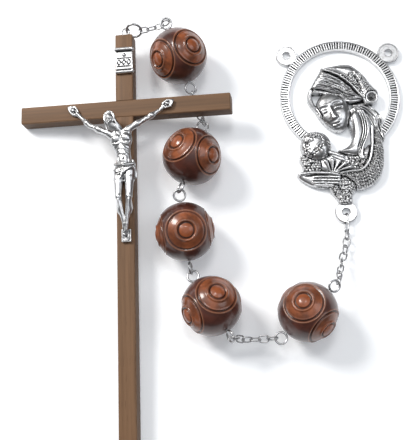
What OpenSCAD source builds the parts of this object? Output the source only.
/* [Beads] */
// Diameter of a carved wooden bead
bead_d = 24; // [20:0.5:30]
// Radial play between a bead's bore and its wire pin
bore_play = 0.08; // [0.05:0.01:0.1]
// Angle from a carved disc's middle to its outer groove
disc_angle = 39; // [36:1:41]
// Angle from a carved disc's middle to the groove round its boss
boss_angle = 15; // [12:1:18]
// Width of a carved groove
groove_w = 0.9; // [0.6:0.1:1.2]

/* [Pins and chain] */
// Wire diameter of the pins that run through the beads
pin_wire = 0.9; // [0.8:0.05:1.1]
// Outer diameter of the round loop at each end of a pin
pin_loop_d = 5.5; // [4.8:0.1:7]
// Wire diameter of a chain link
link_wire = 0.65; // [0.55:0.05:0.8]
// Outer width of a chain link
link_w = 3.4; // [3.2:0.1:4.2]
// Outer length of a chain link
link_len = 4.8; // [4.2:0.1:5.8]
// Wire diameter of the ring that joins the chain to the cross
ring_wire = 1; // [0.8:0.05:1.1]
// Outer diameter of the ring that joins the chain to the cross
ring_d = 7.4; // [6.6:0.1:9]
// Wire diameter of the oval connector under the centrepiece
connector_wire = 0.8; // [0.7:0.05:0.95]
// Outer width of the oval connector
connector_w = 3.6; // [3.4:0.1:4.4]
// Outer length of the oval connector
connector_len = 8.8; // [7.5:0.1:10.5]
// Running play between two interlinked wires
play = 0.14; // [0.1:0.01:0.2]

/* [Cross] */
// Height of the upright
cross_h = 184; // [150:1:220]
// Length of the crossbar
span = 89; // [76:1:106]
// Width of both bars
bar_w = 7.3; // [6:0.1:9]
// Thickness of both bars
bar_t = 7.5; // [6:0.1:9]
// Distance from the top end to the middle of the crossbar
drop = 33; // [28:1:40]
// Wire diameter of the screw eye
eye_wire = 0.8; // [0.7:0.05:1]
// Outer diameter of the screw eye's loop
screw_loop_d = 4.4; // [4.2:0.1:5.4]
// Shank length of a nail
nail_len = 5; // [4:0.5:6]

/* [Centrepiece] */
// Outer diameter of the ribbed halo
halo_d = 51.5; // [44:0.5:60]
// Radial width of the halo band
halo_w = 3.6; // [3:0.1:5]
// Thickness of the cast plate
plate_t = 2.3; // [2:0.1:3]
// Outer diameter of the three eyes
eye_d = 9.2; // [8:0.1:11]
// Bore diameter of the two top eyes, where the decade loop is fastened
eye_bore = 3; // [2.5:0.1:4]
// Bore diameter of the bottom eye, which holds the connector
foot_bore = 3; // [2.8:0.1:3.8]
// Distance from the bottom eye to the halo's middle
foot_drop = 51; // [46:1:60]
// Sideways distance from the halo's middle to a top eye
eye_reach = 22; // [20:0.5:27]
// Height of a top eye above the halo's middle
eye_rise = 19.6; // [17:0.2:24]

/* [Hidden] */
$fn = 48;

wood_cross = [0.57, 0.43, 0.33];
wood_bead = [0.45, 0.22, 0.12];
cast_silver = [0.72, 0.72, 0.72];
wire_grey = [0.62, 0.62, 0.64];

bead_r = bead_d / 2;
pin_loop_gap = 0.12;                                   // between a bead's pole and its loop
pin_reach = bead_d + 2 * (pin_loop_gap + pin_loop_d) - pin_wire;
bore_r = pin_wire / 2 + bore_play;
nail_r = 0.45;                                         // a cross nail's shank
nail_play = 0.05;                                      // between a nail and its hole
sliver = 0.02;                                         // gap where two pieces sit face to face

// Turns a vector as rotate([x, y, z]) does.
function about_x(a, v) = [v.x, v.y * cos(a) - v.z * sin(a), v.y * sin(a) + v.z * cos(a)];
function about_y(a, v) = [v.x * cos(a) + v.z * sin(a), v.y, v.z * cos(a) - v.x * sin(a)];
function about_z(a, v) = [v.x * cos(a) - v.y * sin(a), v.x * sin(a) + v.y * cos(a), v.z];
function turned(r, v) = about_z(r.z, about_y(r.y, about_x(r.x, v)));
function total(list, i = 0) = i == len(list) ? 0 : list[i] + total(list, i + 1);

// The route from the cross to the centrepiece. Each piece pulls on the one before it, so its
// place follows from its heading in plan, how far it rises, its roll about its own length and
// its size. A rise is a share of the piece's own pull length.
PIN = 0;
LINK = 1;
RING = 2;
OVAL = 3;
function wire(kind) = kind == PIN ? pin_wire : kind == LINK ? link_wire
    : kind == RING ? ring_wire : connector_wire;
function reach(kind) = kind == PIN ? pin_reach : kind == LINK ? link_len - link_wire
    : kind == RING ? ring_d - ring_wire : connector_len - connector_wire;
function hook(kind, before) = (wire(kind) + before) / 2 + play;
function pull(kind, before) = reach(kind) - hook(kind, before);

// Chains A, B and C hang in shallow bows: A beside the upright's top end, B under the crossbar
// and C between its beads. Chain D runs down from its bead to the centrepiece. Each number is a
// link's dip or climb against the straight line, as a share of its pull, and each list adds up to 0.
sag_a = [-0.43, -0.17, 0.03, 0.57];
sag_b = [-0.62, -0.4, 0.15, 0.38, 0.49];
sag_c = [-0.62, -0.39, -0.08, 0.15, 0.47, 0.47];
sag_d = [-0.24, -0.23, -0.13, 0.02, 0.01, 0.15, 0.19, 0.23];
pin_1_tilt = -9.6;                                     // bead 1's pin dips towards chain B
link_pull = pull(LINK, link_wire);
first_pull = pull(LINK, pin_wire);
pin_half = pin_reach / 2;
loop_r = (pin_loop_d - pin_wire) / 2;
foot_relief = 1.15;                                    // clear height under the bottom eye
foot_mid_z = (plate_t + foot_relief) / 2;
a_end_z = bead_r - (pin_half - hook(PIN, link_wire)) * sin(pin_1_tilt);
b_end_z = bead_r + pin_half * sin(pin_1_tilt);
b_mid_z = b_end_z + first_pull * sag_b[0] + link_pull * (sag_b[1] + sag_b[2] / 2);

// The cross lies on its bottom end and the end of its left arm, and its right arm rests on the
// middle link of chain B. Its back rises lie_a to the right and lie_b upwards from those ends.
yaw = 1.7;
over_x = 26.4;                                         // along the right arm to chain B
perch = b_mid_z + link_w / 2 + 0.92;
foot_y = cross_h - drop;
lie_slope = (span - bar_w) / (2 * foot_y - bar_w);     // lie_b as a share of lie_a
lie_a = perch / (span / 2 + lie_slope * bar_w / 2 + over_x);
lie_b = lie_slope * lie_a;
roll = atan(lie_a);
cross_turn = [atan(lie_b * cos(roll)), -roll, yaw];
lie_z = -min(turned(cross_turn, [-span / 2, -bar_w / 2, 0]).z,
    turned(cross_turn, [-bar_w / 2, -foot_y, 0]).z);

// Headings of the pieces after the cross, in degrees from +X.
eye_lean = 15.5;                                       // the screw eye's loop from level
eye_side = 11.8;                                       // where the ring sits on that loop
// How far each bead has turned on its pin
bead_spin = [55, 36.5, -3, 68.5, 72];
ring_heading = -1.1;
ring_dip = 4.6;
head_pin_1 = -69;
head_b = [-75, -72, -69, -66, -61];
head_pin_2 = -107;
head_pin_3 = -81;
head_pin_4 = -59;
head_c = [-6, -2, 1, 4, 4, 2];
head_pin_5 = 44;
head_d = [81, 72, 79, 74, 71, 75, 81, 86];
head_connector = 90.2;
head_centre = 91.5;

// Rolls of the wires about their own length. Each link is about square to its neighbours.
ring_roll = 60.3;
roll_a = [168, 268, 346, 77];
roll_b = [96, 187, 247, 334, 72];
roll_c = [82, 175, 234, 301, 21, 74];
roll_d = [117, 215, 321, 73, 165, 230, 352, 51];
connector_roll = 110.6;

// A chain's link hooks onto a pin's loop a little round from its far point, where the pull is
// straight through the loop's middle. These are the angles round the loops, in degrees.
pin_1_in = -50;
pin_2_in = -35;
pin_4_out = 52;
pin_5_in = -45;
seat = 0.34;                                           // the connector's play in the bottom eye

screw_r = (screw_loop_d - eye_wire) / 2;
screw_y = drop + 0.3 + eye_wire / 2 + screw_r;
screw_at = [0, screw_y, bar_t / 2];
ring_seat = screw_at + about_y(-eye_lean, [screw_r * cos(eye_side), screw_r * sin(eye_side), 0]);

// The layout is worked out from the middle of the crossing, then shifted by home so that the
// origin is under the middle of the whole.
cross_rest = [0, 0, lie_z];
seat_0 = cross_rest + turned(cross_turn, ring_seat);
ring_turn = [ring_roll, -ring_dip, ring_heading];
ring_out = seat_0 + pull(RING, eye_wire) * turned(ring_turn, [1, 0, 0]);
a_pulls = [for (i = [0:len(sag_a) - 1]) pull(LINK, i == 0 ? ring_wire : link_wire)];
a_rise = (a_end_z - ring_out.z - total([for (i = [0:len(sag_a) - 1]) sag_a[i] * a_pulls[i]]))
    / total(a_pulls);
function level(s) = sqrt(1 - s * s);
a_level = total([for (i = [0:len(sag_a) - 1]) a_pulls[i] * level(sag_a[i] + a_rise)]);

// Chain A turns in plan so that the middle of chain B comes under the middle of the crossbar.
pin_1_turn = [0, -pin_1_tilt, head_pin_1];
pin_1_span = [pin_reach - loop_r, 0, 0]
    - (hook(PIN, link_wire) - loop_r) * [cos(pin_1_in), sin(pin_1_in), 0];
pin_1_y = turned(pin_1_turn, pin_1_span).y;
b_half_y = first_pull * level(sag_b[0]) * sin(head_b[0])
    + link_pull * (level(sag_b[1]) * sin(head_b[1]) + sin(head_b[2]) / 2);
a_climb = over_x * sin(yaw) - ring_out.y - pin_1_y - b_half_y;
head_a = asin(max(-0.97, min(0.97, a_climb / a_level)));

// One row for each piece: kind, heading, rise, roll of its first loop, roll of its last loop,
// angle round its first loop, angle round its last loop. A pin's rise of undef makes it climb or
// dip until its bead lies on the table. A link's rise is [sag, sag still to come, links left,
// height to end at].
function rest_of(list, i) = total([for (j = [i:len(list) - 1]) list[j]]);
function chain(heads, sag, rolls, end_z) = [for (i = [0:len(sag) - 1])
    [LINK, heads[i], [sag[i], rest_of(sag, i), len(sag) - i, end_z], rolls[i], rolls[i], 0, 0]];
ROUTE = concat(
    [[RING, ring_heading, sin(ring_dip), ring_roll, ring_roll, 0, 0]],
    chain([for (s = sag_a) head_a], sag_a, roll_a, a_end_z),
    [[PIN, head_pin_1, sin(pin_1_tilt), 0, -20, pin_1_in, 0]],
    chain(head_b, sag_b, roll_b, b_end_z),
    [[PIN, head_pin_2, undef, 0, 61, pin_2_in, 0]],
    [[PIN, head_pin_3, undef, 2, 102, 0, 0]],
    [[PIN, head_pin_4, undef, 0, 64, 0, pin_4_out]],
    chain(head_c, sag_c, roll_c, bead_r),
    [[PIN, head_pin_5, undef, 0, 30, pin_5_in, 0]],
    chain(head_d, sag_d, roll_d, foot_mid_z),
    [[OVAL, head_connector, 0, connector_roll, connector_roll, 0, 0]]
);

function rise(row, from, before) =
    is_undef(row[2]) ? (bead_r - from.z + (hook(PIN, before) - loop_r) * sin(row[5]) * sin(row[3]))
        / (pin_half - hook(PIN, before) * cos(row[5]) - loop_r * (1 - cos(row[5])))
    : is_list(row[2]) ? row[2][0] + ((row[2][3] - from.z) / pull(LINK, before) - row[2][1]) / row[2][2]
    : row[2];

// Each placed piece is [first end, turn, last hook, kind, twist of the last loop].
function laid(i, from, before) = i == len(ROUTE) ? [] :
    let (
        row = ROUTE[i],
        kind = row[0],
        turn = [row[3], -asin(rise(row, from, before)), row[1]],
        inward = [cos(row[5]), sin(row[5]), 0],
        ring = kind == PIN ? loop_r : 0,
        first = from - turned(turn, (hook(kind, before) - ring) * inward + [ring, 0, 0]),
        outward = about_x(row[4] - row[3], [cos(row[6]), sin(row[6]), 0]),
        last = first + turned(turn, [reach(kind) - ring, 0, 0] + ring * outward)
    )
    concat([[first, turn, last, kind, row[4] - row[3]]], laid(i + 1, last, wire(kind)));
loose = laid(0, seat_0, eye_wire);

// The centrepiece hangs on the connector by its bottom eye.
centre_turn = [0, 0, head_centre - 90];
connector_end = loose[len(loose) - 1][2];
foot_loose = connector_end
    + (foot_bore / 2 - connector_wire / 2 - seat) * turned(centre_turn, [0, 1, 0]);

// The outermost points give the box that the origin is centred on.
west = turned(cross_turn, [-span / 2, bar_w / 2, bar_t]).x;
south = turned(cross_turn, [bar_w / 2, -foot_y, bar_t]).y;
east = foot_loose.x + turned(centre_turn, [eye_reach, foot_drop + eye_rise, 0]).x + eye_d / 2;
north = loose[len(sag_a) + 1][0].y + loop_r * sin(head_pin_1) + pin_loop_d / 2;
home = [-(west + east) / 2, -(south + north) / 2, 0];
cross_at = cross_rest + home;
route = [for (p = loose) [p[0] + home, p[1], p[2] + home, p[3], p[4]]];
centre_at = [foot_loose.x + home.x, foot_loose.y + home.y, 0];

// Where each group of links starts in the route, and the five pins.
a_first = 1;
b_first = len(sag_a) + 2;
c_first = b_first + len(sag_b) + 3;
d_first = c_first + len(sag_c) + 1;
pins = [a_first + len(sag_a), b_first + len(sag_b), b_first + len(sag_b) + 1,
    b_first + len(sag_b) + 2, c_first + len(sag_c)];

// Cross furniture, in the cross's own frame: x and y from the crossing, z from the back.
front = bar_t;
left_hand = [-21.3, 0];
right_hand = [18.4, 0.2];
foot_nail_at = [0.3, -54.2];
title_at = [0.3, 20.9];
title_nail_at = [0.3, 23.3];
scroll_w = 7.4;
scroll_h = 11;
scroll_t = 0.9;
hand_top = 2;                                          // hand thickness over the crossbar
foot_top = 3.2;                                        // foot thickness over the upright

// Places children in the cross's own frame.
module on_cross() {
    translate(cross_at) rotate(cross_turn) children();
}

// Places children on a piece of the route, with +X along its pull.
module on_route(i) {
    translate(route[i][0]) rotate(route[i][1]) children();
}

// Half of a ring of round wire, open towards +X, centred on the origin.
module half_ring(r, w) {
    rotate([0, 0, 90]) rotate_extrude(angle = 180) translate([r, 0]) circle(d = w, $fn = 24);
}

// An oval link of round wire from the first hook at the origin along +X.
module oval_link(len, width, w) {
    r = (width - w) / 2;
    straight = len - width;
    translate([r, 0, 0]) half_ring(r, w);
    translate([r + straight, 0, 0]) mirror([1, 0, 0]) half_ring(r, w);
    for (side = [-1, 1])
        translate([r, side * r, 0]) rotate([0, 90, 0]) cylinder(h = straight, d = w, $fn = 24);
}

// A pin's loop with its first hook at the origin and its neck towards +X.
module pin_loop() {
    translate([loop_r, 0, 0]) rotate_extrude() translate([loop_r, 0]) circle(d = pin_wire, $fn = 24);
}

module pin(i) {
    neck = pin_loop_d - pin_wire;
    on_route(i) color(wire_grey) {
        pin_loop();
        translate([neck, 0, 0]) rotate([0, 90, 0])
            cylinder(h = pin_reach - 2 * neck, d = pin_wire, $fn = 24);
        translate([pin_reach, 0, 0]) rotate([route[i][4], 0, 0]) mirror([1, 0, 0]) pin_loop();
    }
}

// A bead on its pin, with four carved discs round its equator.
module bead(i, spin) {
    on_route(i) translate([pin_reach / 2, 0, 0]) rotate([spin, 0, 0]) color(wood_bead)
        difference() {
            sphere(d = bead_d, $fn = 64);
            rotate([0, 90, 0]) cylinder(h = bead_d + 1, r = bore_r, center = true, $fn = 24);
            for (k = [0:3]) rotate([90 * k, 0, 0])
                for (a = [boss_angle, disc_angle])
                    translate([0, 0, bead_r * cos(a)])
                        rotate_extrude() translate([bead_r * sin(a), 0]) circle(d = groove_w, $fn = 16);
        }
}

module link(i) {
    on_route(i) color(wire_grey) oval_link(link_len, link_w, link_wire);
}

module jump_ring() {
    r = (ring_d - ring_wire) / 2;
    on_route(0) color(wire_grey)
        translate([r, 0, 0]) rotate_extrude() translate([r, 0]) circle(d = ring_wire, $fn = 24);
}

module connector() {
    on_route(len(route) - 1) color(wire_grey)
        oval_link(connector_len, connector_w, connector_wire);
}

module nail_hole(at) {
    translate([at.x, at.y, front - nail_len]) cylinder(h = nail_len + 1, r = nail_r + nail_play, $fn = 24);
}

// The upright has the back half of the lap joint, and holes for its nails and the screw eye.
module upright() {
    on_cross() color(wood_cross) difference() {
        translate([-bar_w / 2, -foot_y, 0]) cube([bar_w, cross_h, bar_t]);
        translate([-bar_w / 2 - 1, -bar_w / 2 - sliver, bar_t / 2])
            cube([bar_w + 2, bar_w + 2 * sliver, bar_t]);
        nail_hole(title_nail_at);
        nail_hole(foot_nail_at);
        translate([0, drop, bar_t / 2]) rotate([90, 0, 0])
            cylinder(h = 14, r = eye_wire / 2 + nail_play, center = true, $fn = 24);
    }
}

// The crossbar has the front half of the lap joint.
module crossbar() {
    on_cross() color(wood_cross) difference() {
        translate([-span / 2, -bar_w / 2, 0]) cube([span, bar_w, bar_t]);
        translate([-bar_w / 2 - sliver, -bar_w / 2 - 1, -1])
            cube([bar_w + 2 * sliver, bar_w + 2, bar_t / 2 + 1 + sliver]);
        nail_hole(left_hand);
        nail_hole(right_hand);
    }
}

module screw_eye() {
    on_cross() color(wire_grey) translate(screw_at) {
        rotate([0, -eye_lean, 0])
            rotate_extrude() translate([screw_r, 0]) circle(d = eye_wire, $fn = 24);
        translate([0, -screw_r, 0]) rotate([90, 0, 0]) cylinder(h = 6.5, d = eye_wire, $fn = 24);
    }
}

// A round-headed nail through a piece that stands lift above the wood.
module nail(at, lift, head_d = 1.7) {
    on_cross() color(cast_silver) translate([at.x, at.y, front + lift]) {
        translate([0, 0, -lift - nail_len + 0.3]) cylinder(h = nail_len + lift, r = nail_r, $fn = 24);
        intersection() {
            translate([0, 0, sliver]) cylinder(h = 1, d = head_d, $fn = 24);
            translate([0, 0, -head_d / 4]) sphere(d = head_d * 1.2, $fn = 24);
        }
    }
}

// The title plate is a small scroll with rolled ends.
module title_scroll() {
    roll_r = 0.8;
    on_cross() color(cast_silver) translate([title_at.x, title_at.y, front + sliver]) difference() {
        union() {
            translate([-scroll_w / 2, -scroll_h / 2, 0]) cube([scroll_w, scroll_h, scroll_t]);
            for (side = [-1, 1])
                translate([0, side * (scroll_h / 2 - roll_r * 0.4), roll_r]) rotate([0, 90, 0])
                    cylinder(h = scroll_w, r = roll_r, center = true, $fn = 24);
        }
        translate([title_nail_at.x - title_at.x, title_nail_at.y - title_at.y, -1])
            cylinder(h = 4, r = nail_r + nail_play, $fn = 24);
    }
}

// A limb between two points of the figure, with a radius at each.
module limb(a, b, ra, rb) {
    hull() {
        translate(a) sphere(r = ra, $fn = 14);
        translate(b) sphere(r = rb, $fn = 14);
    }
}

// The cast figure on the cross, with its arms raised to the hand nails and its feet on a plate.
module corpus() {
    lift = front + sliver;
    on_cross() color(cast_silver) difference() {
        translate([0, 0, lift]) union() {
            for (arm = [[left_hand, [-14.1, -7.4, 2.4], [-6, -11.8, 3.6]],
                        [right_hand, [10.2, -5.8, 2.4], [2.2, -10.4, 3.6]]]) {
                wrist = [arm[0].x, arm[0].y, hand_top / 2];
                limb(wrist, arm[1], 0.8, 1.1);
                limb(arm[1], arm[2], 1.1, 1.7);
                translate([arm[0].x - 1.2, arm[0].y - 1.2, 0]) cube([2.4, 2.4, hand_top - 0.1]);
            }
            hull() {
                translate([-3.4, -13.2, 3.4]) sphere(r = 2, $fn = 14);
                translate([1.4, -12.6, 3.4]) sphere(r = 2, $fn = 14);
                translate([0.3, -23.6, 3]) sphere(r = 2.9, $fn = 14);
            }
            hull() {
                translate([0.3, -23.6, 3]) sphere(r = 2.9, $fn = 14);
                translate([-1.7, -29.6, 2.8]) sphere(r = 2.2, $fn = 14);
                translate([2.2, -29.6, 2.8]) sphere(r = 2.2, $fn = 14);
            }
            limb([-5.2, -5.6, 5], [-3.8, -9.6, 5.4], 2.5, 1.9);
            limb([-1.9, -30, 3], [-1.7, -39, 4.2], 1.9, 1.6);
            limb([-1.7, -39, 4.2], [-0.1, -49.4, 2.4], 1.6, 1);
            limb([2.1, -30, 3], [2.3, -39, 4.2], 1.9, 1.6);
            limb([2.3, -39, 4.2], [0.9, -49.4, 2.4], 1.6, 1);
            hull() {
                translate([-1.5, -56.7, 0]) cube([3.9, 5, 1]);
                translate([0.4, -49, 2.4]) sphere(r = 1.1, $fn = 14);
                translate([-0.7, -55.2, 2]) cube([2, 2, foot_top - 2.1]);
            }
        }
        translate([-15, -62, -1]) cube([30, 80, lift + 1]);
        for (at = [left_hand, right_hand, foot_nail_at])
            translate([at.x, at.y, 0]) cylinder(h = 30, r = nail_r + 2 * nail_play, $fn = 24);
        translate([foot_nail_at.x, foot_nail_at.y, lift + foot_top]) cylinder(h = 9, r = 1.1, $fn = 24);
    }
}

// A flat eye with a bore, its middle at the origin.
module cast_eye(bore, low) {
    translate([0, 0, low]) cylinder(h = plate_t - low, d = eye_d);
}

// The cast centrepiece in its own frame: the bottom eye at the origin and the halo above it.
module centrepiece() {
    halo_at = [0, foot_drop];
    relief = 4;
    translate(centre_at) rotate(centre_turn) color(cast_silver) difference() {
        union() {
            translate([halo_at.x, halo_at.y, 0]) difference() {
                cylinder(h = plate_t, d = halo_d, $fn = 96);
                translate([0, 0, -1]) cylinder(h = plate_t + 2, d = halo_d - 2 * halo_w, $fn = 96);
            }
            for (side = [-1, 1])
                translate([side * eye_reach, foot_drop + eye_rise, 0]) cast_eye(eye_bore, 0);
            cast_eye(foot_bore, foot_relief);
            // Drape from the bottom eye up to the arms.
            translate([0, 0, foot_relief]) linear_extrude(plate_t - foot_relief)
                polygon([[-2.5, 3], [2.5, 3], [3.6, 9], [-5, 9]]);
            // The openwork outline of the two figures, from the drape round by the right.
            linear_extrude(plate_t) polygon([[-4.2, 6], [2.8, 6], [3.8, 10], [7, 9.7], [13, 12],
                [16, 17], [17, 23], [17, 30], [22.5, 36], [17.5, 38], [14, 46], [16, 50], [13.6, 55.4],
                [8.6, 62.2], [2.2, 64.6], [-7.4, 62.4], [-12, 56.6], [-13.4, 49.2], [-10.2, 42.2],
                [-7.6, 36.4], [-2, 35.2], [3, 39.2], [0.4, 28.8], [-5.4, 29.8], [-8, 34], [-12.4, 35],
                [-18.5, 38], [-17.3, 31.6], [-17.6, 26.5], [-16.6, 20.8], [-19, 16.4], [-10.3, 10.9]]);
            // The mother's head and hair, her shawl, the child, and the hand under it.
            translate([0, 53, 0]) cylinder(h = plate_t + relief, d = 20);
            translate([1.4, 44, 0]) cylinder(h = plate_t + relief * 0.6, d = 12);
            linear_extrude(plate_t + relief * 0.5) polygon([[4, 44], [13, 44], [16.6, 34], [16, 18],
                [10, 12], [0, 15], [2, 26]]);
            translate([-10.6, 28, 0]) cylinder(h = plate_t + relief * 0.8, d = 12);
            linear_extrude(plate_t + relief * 0.4) polygon([[-18, 16.4], [-10, 12], [0, 14],
                [3, 22], [-6, 26], [-15, 22]]);
        }
        for (side = [-1, 1])
            translate([side * eye_reach, foot_drop + eye_rise, -1])
                cylinder(h = plate_t + 2, d = eye_bore);
        translate([0, 0, -1]) cylinder(h = plate_t + 2, d = foot_bore);
        translate([-eye_d, -eye_d, -1]) cube([2 * eye_d, eye_d + 6, foot_relief + 1]);
    }
}

upright();
crossbar();
corpus();
title_scroll();
nail(title_nail_at, scroll_t);  // title_nail
nail(left_hand, hand_top);  // left_hand_nail
nail(right_hand, hand_top);  // right_hand_nail
nail(foot_nail_at, foot_top);  // foot_nail
screw_eye();
jump_ring();
for (i = [1:len(sag_a)])
    link(a_first + i - 1);
for (i = [1:len(sag_b)])
    link(b_first + i - 1);
for (i = [1:len(sag_c)])
    link(c_first + i - 1);
for (i = [1:len(sag_d)])
    link(d_first + i - 1);
for (i = [1:5]) {
    pin(pins[i - 1]);
    bead(pins[i - 1], bead_spin[i - 1]);
}
connector();
centrepiece();
